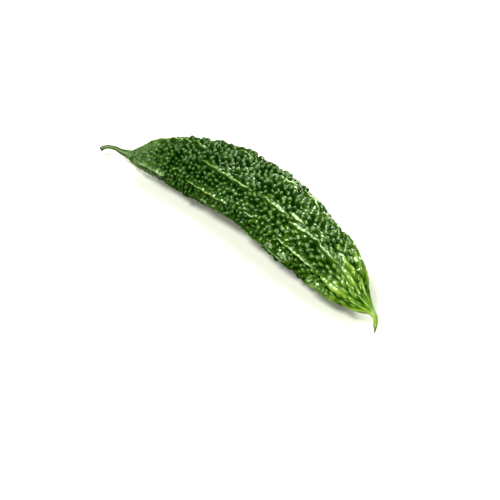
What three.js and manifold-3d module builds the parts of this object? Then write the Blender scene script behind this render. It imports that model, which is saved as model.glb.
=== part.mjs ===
import * as THREE from 'three';
import { mergeVertices } from 'three/addons/utils/BufferGeometryUtils.js';
import Module from 'manifold-3d';

// Bitter gourd, picked with its stalk and lying on its side. Millimetres, +Z up, stalk towards -X.
//
// The fruit is a spindle bent in one plane, with eight broken ridges, a coat of warts between
// them, a narrow neck at the stalk and a thin hooked beak at the flower end. It is first made with
// the plane of its bend level, the hollow side towards -Y, and is then rolled and let down so that
// it rests on three low points.

// ---- Driving dimensions -------------------------------------------------------------------

// Centre line of the fruit in the plane of its bend, from the stalk to the end of the beak: x, y.
const CENTRE_LINE = [
  [-110, -23.1], [-106, -22.3], [-99, -20], [-88.5, -15.1], [-63, -6.3], [-33, -0.4], [0, 0],
  [33, -4.6], [67, -11.5], [90, -18.1], [103, -20.1], [106, -21.8], [109.4, -26.1],
];

// Radius over the tops of the warts and ridges, at shares of the length of the centre line.
const OUTLINE = [
  [0, 2.6], [0.03, 6.2], [0.07, 11.6], [0.13, 16.8], [0.22, 20.6], [0.33, 22.7], [0.45, 23.4],
  [0.57, 23.6], [0.68, 21.4], [0.78, 18.6], [0.86, 13.5], [0.92, 6.5], [0.955, 2.4], [1, 1.4],
];

// Ridges: where each stands round the middle of the fruit, in degrees from the outside of the bend.
const RIDGE_ANGLES = [39, 86, 134, 175, 218, 260, 306, 353];
const RIDGE_TWIST = -9;         // degrees that every ridge turns from the stalk to the beak
const RIDGE_SWAY = 7;           // degrees that a ridge wanders to either side
const RIDGE_WAVES = 1.2;        // sways along the fruit
const RIDGE_PHASES = [0.94, 0.71, 0.79, 0.36, 0.45, 0.55, 0.2, 0.8];  // where each ridge's sway starts

// Lattice of warts: six columns from ridge to ridge, and a wart on every second place.
const COLUMNS_PER_RIDGE = 6;
const ROWS = 112;
const GROWTH_OFFSET = 4;        // keeps the rows from crowding where the fruit is thin
const TIP_STRETCH = 0.8;        // how much longer the warts grow towards the beak
const STRETCH_START = 0.55;     // shares of the length between which they do
const STRETCH_FULL = 0.85;
const WART_WANDER = 0.27;       // shift of a wart's top, in cells
const HOLLOW_WANDER = 0.12;     // shift of a point between warts, in cells
const RIDGE_WANDER = 0.08;      // sideways shift of a point on a ridge, in cells

// Depths below the outline.
const RIDGE_TOP = 0;
const RIDGE_SADDLE = 0.5;       // between two warts of one weal
const RIDGE_BREAK = 2.4;        // between two weals of one ridge
const WART_TOP = 1.5;
const WART_SIDE = 3.1;          // beside a wart, in its own row
const WART_CREVICE = 3.8;       // where three warts meet
const RIB_GROOVE = 2.2;         // between the smooth ribs that run up to the beak
const LOW_RIB = 0.35;           // how much lower every second rib is, as a share of the groove
const BREAK_CHANCE = 0.22;      // share of the places on a ridge where it is broken
const UNEVENNESS = 0.7;         // random spread of the wart tops
const RIDGE_UNEVENNESS = 0.35;  // random spread along a ridge
const HOLLOW_UNEVENNESS = 0.2;  // random spread between warts and along a rib
const FULL_RELIEF_RADIUS = 17;  // thinner than this, the relief shrinks with the fruit

const NECK_START = 0.022;       // shares of the length between which the neck's fine relief
const NECK_END = 0.075;         // grows into full warts
const NECK_RELIEF = 0.35;       // relief on the neck, as a share of the full relief
const RIBS_START = 0.76;        // shares of the length between which warts turn into ribs
const RIBS_FULL = 0.88;

// Stalk, from the fruit to its cut end: x, y in the plane of the bend.
const STALK_LINE = [
  [-110, -23.1], [-116.5, -24.4], [-122.2, -24.9], [-128.3, -27], [-130.8, -29.3], [-131.9, -31.1],
];
const STALK_OUTLINE = [[0, 2.6], [0.12, 2.05], [0.35, 1.6], [0.8, 1.25], [0.93, 1.45], [1, 1.5]];
const STALK_ANGLES = 5;         // long corners of the stalk
const STALK_CORNER = 0.1;       // height of a corner, as a share of the radius
const STALK_SIDES = 15;
const STALK_STEPS = 16;

// Dried foot of the flower's style, at the end of the beak.
const STYLE_LENGTH = 2.6;
const STYLE_RADIUS = 1.05;
const STYLE_END_RADIUS = 0.45;
const STYLE_SIDES = 8;
const STYLE_STEPS = 4;
const STYLE_CURL = 0.5;         // sideways drift of its end

const GAP = 0.3;                // between pieces that touch

// Rest: roll about the long axis, then pitch, then how deep the low points are pressed flat.
const ROLL = 29.2;
const PITCH = -0.4;
const PRESSED = 0.8;
const REACH = 200;              // wider than the whole gourd, for the block that presses it

const LOOKS = {
  fruit: { color: 0x3f6a2a, roughness: 0.35, metalness: 0 },
  stalk: { color: 0x6c8450, roughness: 0.7, metalness: 0 },
  style_remnant: { color: 0x7a6a3a, roughness: 0.85, metalness: 0 },
};

// ---- Small helpers ------------------------------------------------------------------------

// Repeatable value from 0 to 1 for a place in the lattice and a purpose.
function random(row, column, purpose) {
  let bits = Math.imul(row + 17, 0x9e3779b1) ^ Math.imul(column + 31, 0x85ebca6b);
  bits ^= Math.imul(purpose, 0xc2b2ae35);
  bits = Math.imul(bits ^ (bits >>> 15), 0x2c1b3c6d);
  bits = Math.imul(bits ^ (bits >>> 12), 0x297a2d39);
  return ((bits ^ (bits >>> 15)) >>> 0) / 4294967296;
}

// Value from -1 to 1.
function spread(row, column, purpose) {
  return 2 * random(row, column, purpose) - 1;
}

// Smooth curve through [position, value] stops.
function through(stops) {
  const positions = stops.map((stop) => stop[0]);
  const values = stops.map((stop) => stop[1]);
  const interpolant = new THREE.CubicInterpolant(positions, values, 1);
  return (position) => interpolant.evaluate(position)[0];
}

function curveThrough(points) {
  return new THREE.CatmullRomCurve3(points.map(([x, y]) => new THREE.Vector3(x, y, 0)));
}

// Frame of a level curve at a share of its length: its point, its way on, the outside of the bend
// and straight up.
function frameOn(curve, share) {
  const along = curve.getTangentAt(share);
  const outward = new THREE.Vector3(-along.y, along.x, 0);
  return { point: curve.getPointAt(share), along, outward, up: new THREE.Vector3(0, 0, 1) };
}

function pointOn(frame, angle, radius) {
  return frame.point.clone()
    .addScaledVector(frame.outward, radius * Math.cos(angle))
    .addScaledVector(frame.up, radius * Math.sin(angle));
}

// Closed solid over rings of equally many points, with a flat fan on its first and last ring.
// fallsAt says which way each cell between two rings is split.
function loft(rings, fallsAt = () => true) {
  const sides = rings[0].length;
  const corners = rings.flat();
  const index = [];
  for (let row = 0; row + 1 < rings.length; row += 1) {
    for (let column = 0; column < sides; column += 1) {
      const next = (column + 1) % sides;
      const a = row * sides + column;
      const b = row * sides + next;
      const c = a + sides;
      const d = b + sides;
      if (fallsAt(row, column)) index.push(a, b, d, a, d, c);
      else index.push(a, b, c, b, d, c);
    }
  }
  const last = (rings.length - 1) * sides;
  const first = corners.length;
  corners.push(middleOf(rings[0]), middleOf(rings[rings.length - 1]));
  for (let column = 0; column < sides; column += 1) {
    const next = (column + 1) % sides;
    index.push(first, next, column);
    index.push(first + 1, last + column, last + next);
  }
  const geometry = new THREE.BufferGeometry().setFromPoints(corners);
  geometry.setIndex(index);
  return geometry;
}

function middleOf(ring) {
  const middle = new THREE.Vector3();
  ring.forEach((corner) => middle.add(corner));
  return middle.divideScalar(ring.length);
}

// ---- Fruit --------------------------------------------------------------------------------

const COLUMNS = RIDGE_ANGLES.length * COLUMNS_PER_RIDGE;
const fruitLine = curveThrough(CENTRE_LINE);
const outlineAt = through(OUTLINE);

// Shares of the length for the rows: a row's step grows with the girth, as the warts do.
function rowShares() {
  const samples = 2000;
  const grown = [0];
  for (let i = 0; i < samples; i += 1) {
    const share = (i + 0.5) / samples;
    const stretch = 1 + TIP_STRETCH * THREE.MathUtils.smoothstep(share, STRETCH_START, STRETCH_FULL);
    grown.push(grown[i] + 1 / ((outlineAt(share) + GROWTH_OFFSET) * stretch));
  }
  const shareOf = [];
  let i = 0;
  for (let row = 0; row < ROWS; row += 1) {
    const target = grown[samples] * row / (ROWS - 1);
    while (i < samples - 1 && grown[i + 1] < target) i += 1;
    shareOf.push((i + (target - grown[i]) / (grown[i + 1] - grown[i])) / samples);
  }
  return shareOf;
}

// Angle of a ridge at a share of the length, in radians.
function ridgeAngle(ridge, share) {
  const count = RIDGE_ANGLES.length;
  const turns = Math.floor(ridge / count);
  const own = ridge - turns * count;
  const sway = RIDGE_SWAY * Math.sin(2 * Math.PI * (RIDGE_WAVES * share + RIDGE_PHASES[own]));
  return THREE.MathUtils.degToRad(RIDGE_ANGLES[own] + 360 * turns + RIDGE_TWIST * (share - 0.5) + sway);
}

// Angle of a place between two ridges: columns may be broken numbers.
function columnAngle(column, share) {
  const ridge = Math.floor(column / COLUMNS_PER_RIDGE);
  const across = column / COLUMNS_PER_RIDGE - ridge;
  return THREE.MathUtils.lerp(ridgeAngle(ridge, share), ridgeAngle(ridge + 1, share), across);
}

// A wart's top stands on every second column of every second row, each row shifted by one.
function isTop(row, column) {
  return row % 2 === 0 && (column + row / 2) % 2 === 0;
}

function onRidge(column) {
  return column % COLUMNS_PER_RIDGE === 0;
}

// Depth below the outline where the fruit has warts.
function wartDepth(row, column) {
  if (onRidge(column)) {
    if (isTop(row, column)) return RIDGE_TOP + RIDGE_UNEVENNESS * spread(row, column, 1);
    const weal = Math.floor((row + 2) / 4);
    const saddle = random(weal, column, 2) < BREAK_CHANCE ? RIDGE_BREAK : RIDGE_SADDLE;
    return saddle + HOLLOW_UNEVENNESS * spread(row, column, 3);
  }
  if (isTop(row, column)) return WART_TOP + UNEVENNESS * spread(row, column, 4);
  const beside = row % 2 === 0 ? WART_SIDE : WART_CREVICE;
  return beside + HOLLOW_UNEVENNESS * spread(row, column, 5);
}

// Depth below the outline where smooth ribs run up to the beak: a main rib on each ridge and a
// lower one half way between.
function ribDepth(row, column) {
  const across = (column % COLUMNS_PER_RIDGE) / COLUMNS_PER_RIDGE;
  const groove = 0.5 - 0.5 * Math.cos(4 * Math.PI * across);
  const lower = LOW_RIB * (0.5 - 0.5 * Math.cos(2 * Math.PI * across));
  return RIB_GROOVE * (groove + lower) + HOLLOW_UNEVENNESS * spread(row, column, 6);
}

function fruitGeometry() {
  const shares = rowShares();
  const rings = shares.map((share, row) => {
    const atEnd = row === 0 || row === ROWS - 1;
    const step = shares[Math.min(row + 1, ROWS - 1)] - share;
    const ribs = THREE.MathUtils.smoothstep(share, RIBS_START, RIBS_FULL);
    const neck = THREE.MathUtils.smoothstep(share, NECK_START, NECK_END);
    const fine = THREE.MathUtils.lerp(NECK_RELIEF, 1, neck);
    const ring = [];
    for (let column = 0; column < COLUMNS; column += 1) {
      const wander = atEnd ? 0 : (1 - ribs) * (isTop(row, column) ? WART_WANDER : HOLLOW_WANDER);
      const place = share + step * wander * spread(row, column, 7);
      const sideways = (onRidge(column) ? RIDGE_WANDER : wander) * spread(row, column, 8);
      const angle = columnAngle(column + (atEnd ? 0 : sideways), place);
      const outline = outlineAt(place);
      const depth = THREE.MathUtils.lerp(wartDepth(row, column), ribDepth(row, column), ribs);
      const relief = Math.min(1, outline / FULL_RELIEF_RADIUS) * fine;
      ring.push(pointOn(frameOn(fruitLine, place), angle, outline - depth * relief));
    }
    return ring;
  });
  // Each cell is split from the wart's top that it touches, so a wart is a cone of eight faces.
  return loft(rings, (row, column) => {
    const next = (column + 1) % COLUMNS;
    return isTop(row, column) || isTop(row + 1, next);
  });
}

// ---- Stalk and dried style ----------------------------------------------------------------

// Rings of a long round piece along a curve, with corners of the given height.
function stemRings(curve, outline, { sides, steps, corners = 0, cornerHeight = 0 }) {
  const rings = [];
  for (let step = 0; step <= steps; step += 1) {
    const share = step / steps;
    const frame = frameOn(curve, share);
    const ring = [];
    for (let side = 0; side < sides; side += 1) {
      const angle = 2 * Math.PI * side / sides;
      const radius = outline(share) * (1 + cornerHeight * Math.cos(corners * angle));
      ring.push(pointOn(frame, angle, radius));
    }
    rings.push(ring);
  }
  return rings;
}

function stalkGeometry() {
  const curve = curveThrough(STALK_LINE);
  const stalk = loft(stemRings(curve, through(STALK_OUTLINE), {
    sides: STALK_SIDES, steps: STALK_STEPS, corners: STALK_ANGLES, cornerHeight: STALK_CORNER,
  }));
  const away = frameOn(fruitLine, 0).along.negate();
  stalk.translate(away.x * GAP, away.y * GAP, 0);
  return stalk;
}

function styleGeometry() {
  const end = frameOn(fruitLine, 1);
  const reach = (length, drift) => end.point.clone()
    .addScaledVector(end.along, GAP + length)
    .addScaledVector(end.outward, drift);
  const curve = new THREE.CatmullRomCurve3([
    reach(0, 0), reach(STYLE_LENGTH / 2, -STYLE_CURL / 4), reach(STYLE_LENGTH, -STYLE_CURL),
  ]);
  const outline = (share) => THREE.MathUtils.lerp(STYLE_RADIUS, STYLE_END_RADIUS, share);
  return loft(stemRings(curve, outline, { sides: STYLE_SIDES, steps: STYLE_STEPS }));
}

// ---- Rest ---------------------------------------------------------------------------------

const wasm = await Module();
wasm.setup();

function toSolid(geometry) {
  const merged = mergeVertices(geometry);
  return new wasm.Manifold(new wasm.Mesh({
    numProp: 3,
    vertProperties: new Float32Array(merged.attributes.position.array),
    triVerts: new Uint32Array(merged.index.array),
  }));
}

function toGeometry(solid) {
  const mesh = solid.getMesh();
  const geometry = new THREE.BufferGeometry();
  geometry.setAttribute('position', new THREE.BufferAttribute(mesh.vertProperties, 3));
  geometry.setIndex(new THREE.BufferAttribute(mesh.triVerts, 1));
  return geometry;
}

// Presses the low points flat: what would reach below the surface is cut away.
function pressedFlat(geometry) {
  const block = new THREE.BoxGeometry(2 * REACH, REACH, REACH);
  block.deleteAttribute('normal');
  block.deleteAttribute('uv');
  block.translate(0, 0, -REACH / 2);
  return toGeometry(toSolid(geometry).subtract(toSolid(block)));
}

const geometries = { fruit: fruitGeometry(), stalk: stalkGeometry(), style_remnant: styleGeometry() };
const pieces = Object.values(geometries);
pieces.forEach((piece) => {
  piece.rotateX(THREE.MathUtils.degToRad(ROLL));
  piece.rotateY(THREE.MathUtils.degToRad(PITCH));
});
geometries.fruit.computeBoundingBox();
const drop = -geometries.fruit.boundingBox.min.z - PRESSED;
pieces.forEach((piece) => piece.translate(0, 0, drop));
geometries.fruit = pressedFlat(geometries.fruit);

// The origin is on the surface, under the middle of the whole gourd.
const whole = new THREE.Box3();
Object.values(geometries).forEach((piece) => {
  piece.computeBoundingBox();
  whole.union(piece.boundingBox);
});
const middle = whole.getCenter(new THREE.Vector3());

const gourd = new THREE.Group();
Object.entries(geometries).forEach(([name, geometry]) => {
  geometry.translate(-middle.x, -middle.y, 0);
  geometry.computeVertexNormals();
  const mesh = new THREE.Mesh(geometry, new THREE.MeshStandardMaterial(LOOKS[name]));
  mesh.name = name;
  gourd.add(mesh);
});

export default gourd;
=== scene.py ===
"""A picked bitter gourd on a plain pale floor: its warty skin, its stalk and the dried foot of its
style, each a surface worked out with numpy.

Shapes are worked out in millimetres in the plane of the fruit's bend, x along the fruit and y to
the outside of the bend, and are then rolled, pitched and set down as the frame's pieces are.
Their centre lines are the frame's as well, but for the neck, which lies up to 0.8 mm farther out.
A share of the length is a place on a centre line, from 0 at its first point to 1 at its last.
"""

import math

import bpy
import numpy as np
from bpy.props import FloatProperty, FloatVectorProperty, IntProperty, PointerProperty
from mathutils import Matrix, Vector


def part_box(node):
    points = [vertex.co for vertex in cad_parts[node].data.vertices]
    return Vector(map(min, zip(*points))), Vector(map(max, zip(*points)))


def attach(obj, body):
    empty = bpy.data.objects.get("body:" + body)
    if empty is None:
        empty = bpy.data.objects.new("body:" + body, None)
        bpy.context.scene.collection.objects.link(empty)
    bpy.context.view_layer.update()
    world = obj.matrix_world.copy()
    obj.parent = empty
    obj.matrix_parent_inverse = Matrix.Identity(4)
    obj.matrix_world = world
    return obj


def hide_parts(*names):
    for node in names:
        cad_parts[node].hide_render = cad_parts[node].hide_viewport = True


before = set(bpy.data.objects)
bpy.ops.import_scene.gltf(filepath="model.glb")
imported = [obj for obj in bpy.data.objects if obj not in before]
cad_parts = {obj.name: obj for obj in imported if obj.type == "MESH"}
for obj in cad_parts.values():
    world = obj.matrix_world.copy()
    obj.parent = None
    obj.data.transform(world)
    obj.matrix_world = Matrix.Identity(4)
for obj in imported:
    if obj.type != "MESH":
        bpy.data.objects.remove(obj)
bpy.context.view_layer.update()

bl_info = {
    "name": "Bitter Gourd",
    "version": (1, 0, 0),
    "blender": (4, 5, 0),
    "location": "3D View > Sidebar > Gourd",
    "description": "A bitter gourd with its stalk, and a plain stage for it",
    "category": "Add Mesh",
}

MM = 0.001
FULL_TURN = 2 * math.pi

# ---- Form of the fruit ----

# How the whole gourd is turned: rolled about x, then pitched about y.
ROLL = math.radians(29.2)
PITCH = math.radians(-0.4)
GAP = 0.3  # mm between two pieces of the frame

# Centre line of the fruit in the plane of its bend, from the stalk to the end of the beak.
CENTRE_LINE = [
    (-110, -23.1), (-106, -22.3), (-99, -19.2), (-88.5, -14.5), (-63, -6.3), (-33, -0.4), (0, 0),
    (33, -4.6), (67, -11.5), (90, -18.1), (103, -20.1), (106, -21.8), (109.4, -26.1),
]

# Radius over the ridges, at shares of the length.
OUTLINE = [
    (0, 2.8), (0.03, 6.4), (0.07, 10.8), (0.13, 16.0), (0.22, 20.6), (0.33, 22.7), (0.45, 23.4),
    (0.57, 23.6), (0.68, 21.4), (0.78, 18.6), (0.86, 13.5), (0.92, 6.3), (0.955, 2.1), (1, 1.1),
]

# What the skin adds to that radius, straight from stop to stop: a fuller neck, a slimmer middle.
FULLNESS = [
    (0, 0.3), (0.02, 0.6), (0.06, 0.9), (0.09, 0.6), (0.13, 0), (0.35, 0), (0.42, -0.7),
    (0.55, -0.6), (0.63, 0), (1, 0),
]
FULL_RELIEF_RADIUS = 17  # where the fruit is thinner than this, its relief shrinks with it

# Ridges: degrees from the outside of the bend, and how each turns and sways along the fruit.
RIDGE_ANGLES = (39, 86, 134, 175, 218, 260, 306, 353)
RIDGE_TWIST = -9
RIDGE_SWAY = 7
RIDGE_WAVES = 1.2
RIDGE_PHASES = (0.94, 0.71, 0.79, 0.36, 0.45, 0.55, 0.2, 0.8)

# Valleys between the ridges: depth in millimetres, the shares of the length where they fade in
# and out, and how far inside a weal they are filled up.
VALLEY_DEPTH = 1.7
VALLEY_IN = (0.06, 0.16)
VALLEY_OUT = (0.92, 0.8)
VALLEY_FILL = (0, 0.5)

# Weals on the ridges: ridge, shares of the length where each starts and ends, degrees beside the
# ridge's own line at its start, middle and end, and its height and width as shares of the full ones.
WEALS = [
    (0, 0.065, 0.235, 9, 10, 9, 1, 1.3),
    (0, 0.225, 0.295, 8, 16, 25, 0.95, 1.1),
    (0, 0.36, 0.42, -3, -2, 0, 0.9, 1),
    (0, 0.485, 0.58, 18, 9, 0, 1, 1.3),
    (0, 0.57, 0.665, -2, -2, 6, 1, 1.3),
    (0, 0.66, 0.745, 8, -5, -4, 1, 1.3),
    (0, 0.79, 0.87, 34, 25, 17, 0.85, 1.3),
    (0, 0.79, 0.875, -16, -7, -10, 1, 0.8),
    (1, 0.285, 0.495, 2.5, 6, 5, 1, 1),
    (1, 0.53, 0.63, 1.5, 2.6, 1.5, 0.95, 1),
    (1, 0.62, 0.685, -2, -4, -3, 0.75, 1),
    (1, 0.64, 0.755, 9, 5.5, 0, 1, 1),
    (1, 0.725, 0.832, -3, 5, -1.5, 1, 1),
    (1, 0.825, 0.895, -1, -4, -9, 0.95, 1.3),
    (2, 0.045, 0.178, 6.5, 6, 14, 1.15, 1.45),
    (2, 0.25, 0.45, -3.5, -0.5, 3, 1, 1),
    (2, 0.5, 0.55, -4, -4.5, -6, 0.9, 1),
    (2, 0.63, 0.795, -1, -1, 1, 1, 1),
    (2, 0.805, 0.9, 0, 3, -4, 0.95, 1.25),
    (3, 0.012, 0.075, -8, -10, -12, 0.7, 1),
    (3, 0.28, 0.48, -8, 2, 0, 1, 1),
    (3, 0.595, 0.7, -24, -16, -18, 1, 1.6),
    (3, 0.655, 0.715, -36, -29, -25, 0.8, 0.8),
    (3, 0.76, 0.88, -20, -9, 5, 1, 1.2),
    (7, 0.276, 0.303, 23, 22, 21, 0.85, 0.8),
    (7, 0.36, 0.398, 19, 17, 14, 1.15, 1.1),
    (7, 0.444, 0.466, 16, 15, 14, 0.9, 0.8),
    (7, 0.482, 0.512, 16, 15, 13, 1.15, 1.1),
    (7, 0.3, 0.36, -4, 0, 3, 1, 0.9),
    (7, 0.56, 0.65, 0, 4, 2, 0.9, 1),
    (7, 0.72, 0.82, 20, 17, 15, 1, 1),
    (7, 0.8, 0.9, 16, 14, 5, 0.9, 1.1),
]
WEAL_WIDTHS = (0.92, 1.05)  # random share of that width
WEAL_WAVE = 0.3  # mm that a weal waves to either side
WIDE_WAVE = 0.7  # the same on ridge 0
WAVE_RADIAN = 1.5  # mm along a weal to a radian of its wave
ANY_PHASE = (0, 6.3)  # radians at which a wave may start
HALF_WIDTH = slice(6, 7)  # column of a weal's half width in the rows of placed_weals

# The share of a ridge's other weals that are short, high teeth. Ridges not named have no others.
RIDGE_TEETH = {3: 0.3, 4: 0.5, 5: 0.3, 6: 0.6}
TOOTHED_STRETCH = (0.12, 0.74)

# These other weals: length in millimetres, and height and width as shares of the full ones.
TOOTH = {"length": (5, 7.5), "height": (1.0, 1.18), "width": (0.8, 1.0)}
LONG_WEAL = {"length": (16, 38), "height": (0.84, 1.0), "width": (0.85, 1.15)}
FIRST_START = 0.03  # the first on a ridge starts at this share of the length
START_SPREAD = 0.02  # or up to this much farther on
LAST_START = 0.9
GROWN_SHARE = 0.16  # share of the length from which they have their full height
OVER_END = 0.01  # how far one may run over the end of a weal of the list above
OVER_START = 0.02  # and over its start
ASIDE = (0.9, 0.8)  # mean and spread of the degrees that it lies beside its ridge
BEND_SPREAD = 1.5  # spread of the degrees that its ends turn aside
NEXT_START = (0.82, 1.0)  # share of its length after which the next one starts,
NEXT_GAP = (-0.5, 2.0)  # and mm from there

# Cross-section of a weal, and the ripple of its crest.
BLUNT = 0.4  # how round its top is, as a share of the half width
LEAST_TAPER = 0.02  # keeps its two ends from being endlessly thin
RIPPLE = 0.05  # share of the height
RIPPLE_RADIAN = 0.55  # mm along it to a radian of the ripple

# Ribs at the beak, on each ridge and between two: share of the length where one starts, height as a
# share of a ridge's, and width as a share of the distance between ridges.
RIB_ON_RIDGE = (0.86, 1.0, 0.66)
RIB_BETWEEN = (0.9, 0.75, 0.34)
RIB_START_SPREAD = 0.03
RIB_GROWTH = 0.06  # share of the length in which a rib grows to its height
RIB_MIDDLES = (0.42, 0.58)  # where a rib between two ridges lies on the way between them
RIB_WAVE = 0.5  # mm
RIB_WAVES = 60  # radians of that wave in the whole length
RIB_WAVE_FADE = (1.0, 0.86)  # shares of the length from none of it to all of it

# Warts, at shares of the length: millimetres between them, height, and length over width.
WART_PITCH = [
    (0, 1.8), (0.05, 2.4), (0.1, 3.1), (0.2, 3.5), (0.4, 3.8), (0.65, 4.1), (0.8, 3.9), (1, 2.6),
]
WART_LEVEL = [
    (0, 0.05), (0.03, 0.2), (0.08, 0.7), (0.14, 1), (0.8, 1), (0.9, 0.8), (0.94, 0.4), (0.96, 0),
]
WART_STRETCH = [(0, 1.6), (0.06, 1.2), (0.15, 1), (0.65, 1), (0.8, 1.2), (0.92, 1.8), (1, 2.5)]
WART_SPREAD = 0.14  # so much farther apart they are on the widest side
WIDEST_SIDE = math.radians(60)

# Places of the warts: a spiral, pushes that even it out, and random shifts.
SPIRAL_SHARES = np.linspace(0.004, 0.95, 2000)
GOLDEN_RATIO = 0.618034
WART_ROOM = 0.87  # area of skin to a wart, over its pitch squared
FIRST_SHIFT = 0.25  # spread of the first random shift, round the fruit, as a share of the pitch
LAST_SHIFT = 0.11  # and of the last, which also goes along it
PUSHES = 16
PUSH = 0.3  # share of the way that one push goes
CROWDED = 1.1  # pitches within which two warts push each other
LEAST_APART = 0.02  # pitches that are added to every distance
CLEARING_PUSHES = (7, 11)  # after these, warts move off the flanks of the weals
CLEAR_FOOT = 1.05  # half widths of the weal that they move out to
WEAL_TOP = 0.25  # share of that within which they stay on the weal
LONGEST_MOVE = 2  # mm
WART_ENDS = (0.003, 0.955)  # shares of the length that they keep between
WART_FREE = (0.4, 0.95)  # half widths from a weal's line at which they are lowest, and highest

# Form of a wart: means, spreads and limits.
WART_RADIUS = 0.52  # share of the pitch
SIZE_SPREAD = 0.2
WART_SIZES = (0.62, 1.5)
WART_LENGTHS = (0.85, 1.35)  # random factor of its length
LEAN_SPREAD = 0.4  # spread of the slant of its long way
CROSS_LEAN = 0.3  # share of that slant that its short way has
HEIGHT_SPREAD = 0.14
SIZE_POWER = 0.7  # its height goes with this power of its size
FULL_PITCH = 3.5  # pitch at which a wart has its full height
LEAST_HEIGHT = 0.4  # share of the height that it would have with no pitch at all
LOWERED = 0.3  # share of the height that it keeps under a weal
WART_WINDOW = (13, 15)  # rows and columns of the grid that it reaches to either side

# How warts, weals and ribs meet.
WART_FADE = (0.1, 0.55)  # depths inside a weal or rib between which the warts on it fade
HIGHEST = 1.15  # highest relief, as a share of the ridge height
RIPE_LEVEL = 0.3  # lowest relief at the beak, as such a share
RIPE_SHARES = (0.7, 0.88)  # shares of the length between which it rises to that
RIB_CROWN = (0, 0.8)  # depths inside a rib between which its colour goes up to the top's
WEAL_CROWN = (0.4, 0.35)  # place in the colours of a weal's foot, and how far it goes up
CREST_LEVEL = (0.35, 0.6)  # shares of the ridge height between which a crest gets its light

# Grid of the skin, and how far apart its rows are at shares of the length, against each other.
SKIN_ROWS = 398
SKIN_COLUMNS = 248
ROW_STEP = [(0, 0.7), (0.06, 0.45), (0.22, 0.5), (0.45, 0.58), (0.72, 0.62), (0.88, 0.85), (1, 0.6)]

# ---- Form of the stalk and the style ----

# Stalk: its line in the plane of the bend and its radius, from the fruit to the cut end.
STALK_LINE = [
    (-110, -23.1), (-116.5, -24.4), (-122.2, -24.9), (-128.3, -27), (-130.8, -29.3), (-131.9, -31.1),
]
STALK_OUTLINE = [(0, 2.5), (0.12, 2.05), (0.35, 1.6), (0.8, 1.25), (0.93, 1.45), (1, 1.5)]
STALK_ROOT = (-107.9, -22.7)  # where it starts inside the fruit
ROOT_SHARE = 0.1  # how much longer that makes it
ROOT_SWELL = 0.4  # mm that it is fuller there
SWELL_SHARES = (0.45, 0.05)  # shares of its length between which it swells
STALK_ANGLES = 5
STALK_CORNER = 0.1  # height of a corner, as a share of the radius
STREAKS = 15
STREAK_HEIGHT = 0.35  # share of a corner's height
STREAK_SWAY = 3  # radians that the streaks sway round it,
STREAK_WAVES = 7  # and radians of that wave in its length
CUT_RINGS = (0.85, 0.5)  # rings on the cut end, as shares of its radius,
CUT_SHARES = (1.02, 1.04)  # and the shares of the length that their colour is taken at
STALK_GRID = (90, 60)
FRAME_STALK_GRID = (17, 15)  # rows and columns of the frame's own stalk

# Dried foot of the style, in millimetres.
STYLE_LENGTH = 2.6
STYLE_RADIUS = 0.85
STYLE_END_RADIUS = 0.45
STYLE_CURL = 0.5  # how far its end turns aside
STYLE_ROOT = 0.6  # how deep it starts inside the beak
WRINKLES = 4
WRINKLE_DEPTH = 0.16  # share of the radius
WRINKLE_TWIST = 1.5  # radians in a millimetre
WRINKLED = (0, 1.5)  # mm from the beak between which they grow
STYLE_GRID = (14, 24)

# ---- Looks and stage ----

# Skin at shares of the length: what its colour is multiplied by, where a crest gets its painted glint,
# its roughness, its shine, and the coat on its warts.
SKIN_SHADE = [
    (0.04, (1.4, 1.4, 1.4)), (0.16, (0.7, 0.7, 0.7)), (0.45, (0.8, 0.8, 0.75)),
    (0.66, (1.1, 0.98, 0.6)), (0.78, (0.95, 0.86, 0.5)),
]
# Shares of the length where stretches of the crests get a painted glint.
GLINT_STRETCH = [(0.42, 0.0), (0.54, 1.0), (0.76, 1.0), (0.88, 0.0)]
SKIN_ROUGHNESS = [
    (0.0, 0.42), (0.12, 0.25), (0.35, 0.17), (0.55, 0.12), (0.86, 0.12), (0.93, 0.2), (1.0, 0.3),
]
SKIN_SHINE = [(0.1, 0.4), (0.35, 0.45), (0.5, 0.55), (0.66, 0.55), (0.8, 0.45), (0.9, 0.4)]
WART_COAT = [(0.15, 0.2), (0.45, 0.4), (0.65, 0.55), (0.8, 0.5)]

# Multipliers of the skin's colour: warts of the two extreme tones, its patches, and the neck.
LIGHT_TONE = (1.35, 1.28, 1.2)
DARK_TONE = (0.72, 0.8, 0.85)
PATCH_SHADE = (0.75, 0.85, 0.8)
NECK_SHADE = (0.9, 0.9, 0.9)
DRY_SHADE = 0.55  # of the style's darker spots

FLOOR_HALF = 4.0  # metres
AIM_HEIGHT = 0.02  # metres over the floor of the point that the camera circles,
AIM_BELOW = 0.0306  # and how far below it and
AIM_LEFT = 0.0012  # to the left of it the camera looks

# Lights: name, metres to the camera's right, towards the camera and up, size in metres, and power
# as a share of the key light's.
LIGHTS = [
    ("key_light", -0.5, 0.5, 1.0, 0.5, 1.0),
    ("side_light", 0.8, 0.7, 0.7, 0.43, 0.44),
    ("low_light", -0.9, 1.0, 0.1, 0.6, 0.39),
    ("top_light", 0.2, -0.2, 1.3, 0.45, 0.15),
    ("rim_light", 0.3, -0.9, 1.0, 0.4, 0.3),
]
LIGHT_COLOUR = (0.97, 1, 0.87)


# ---- Settings ----


def length_property(name, description, default):
    """A setting for a length, in metres."""
    return FloatProperty(
        name=name, description=description, default=default, unit="LENGTH", subtype="DISTANCE"
    )


def angle_property(name, description, degrees):
    """A setting for an angle."""
    return FloatProperty(
        name=name, description=description, default=math.radians(degrees), subtype="ANGLE"
    )


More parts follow.
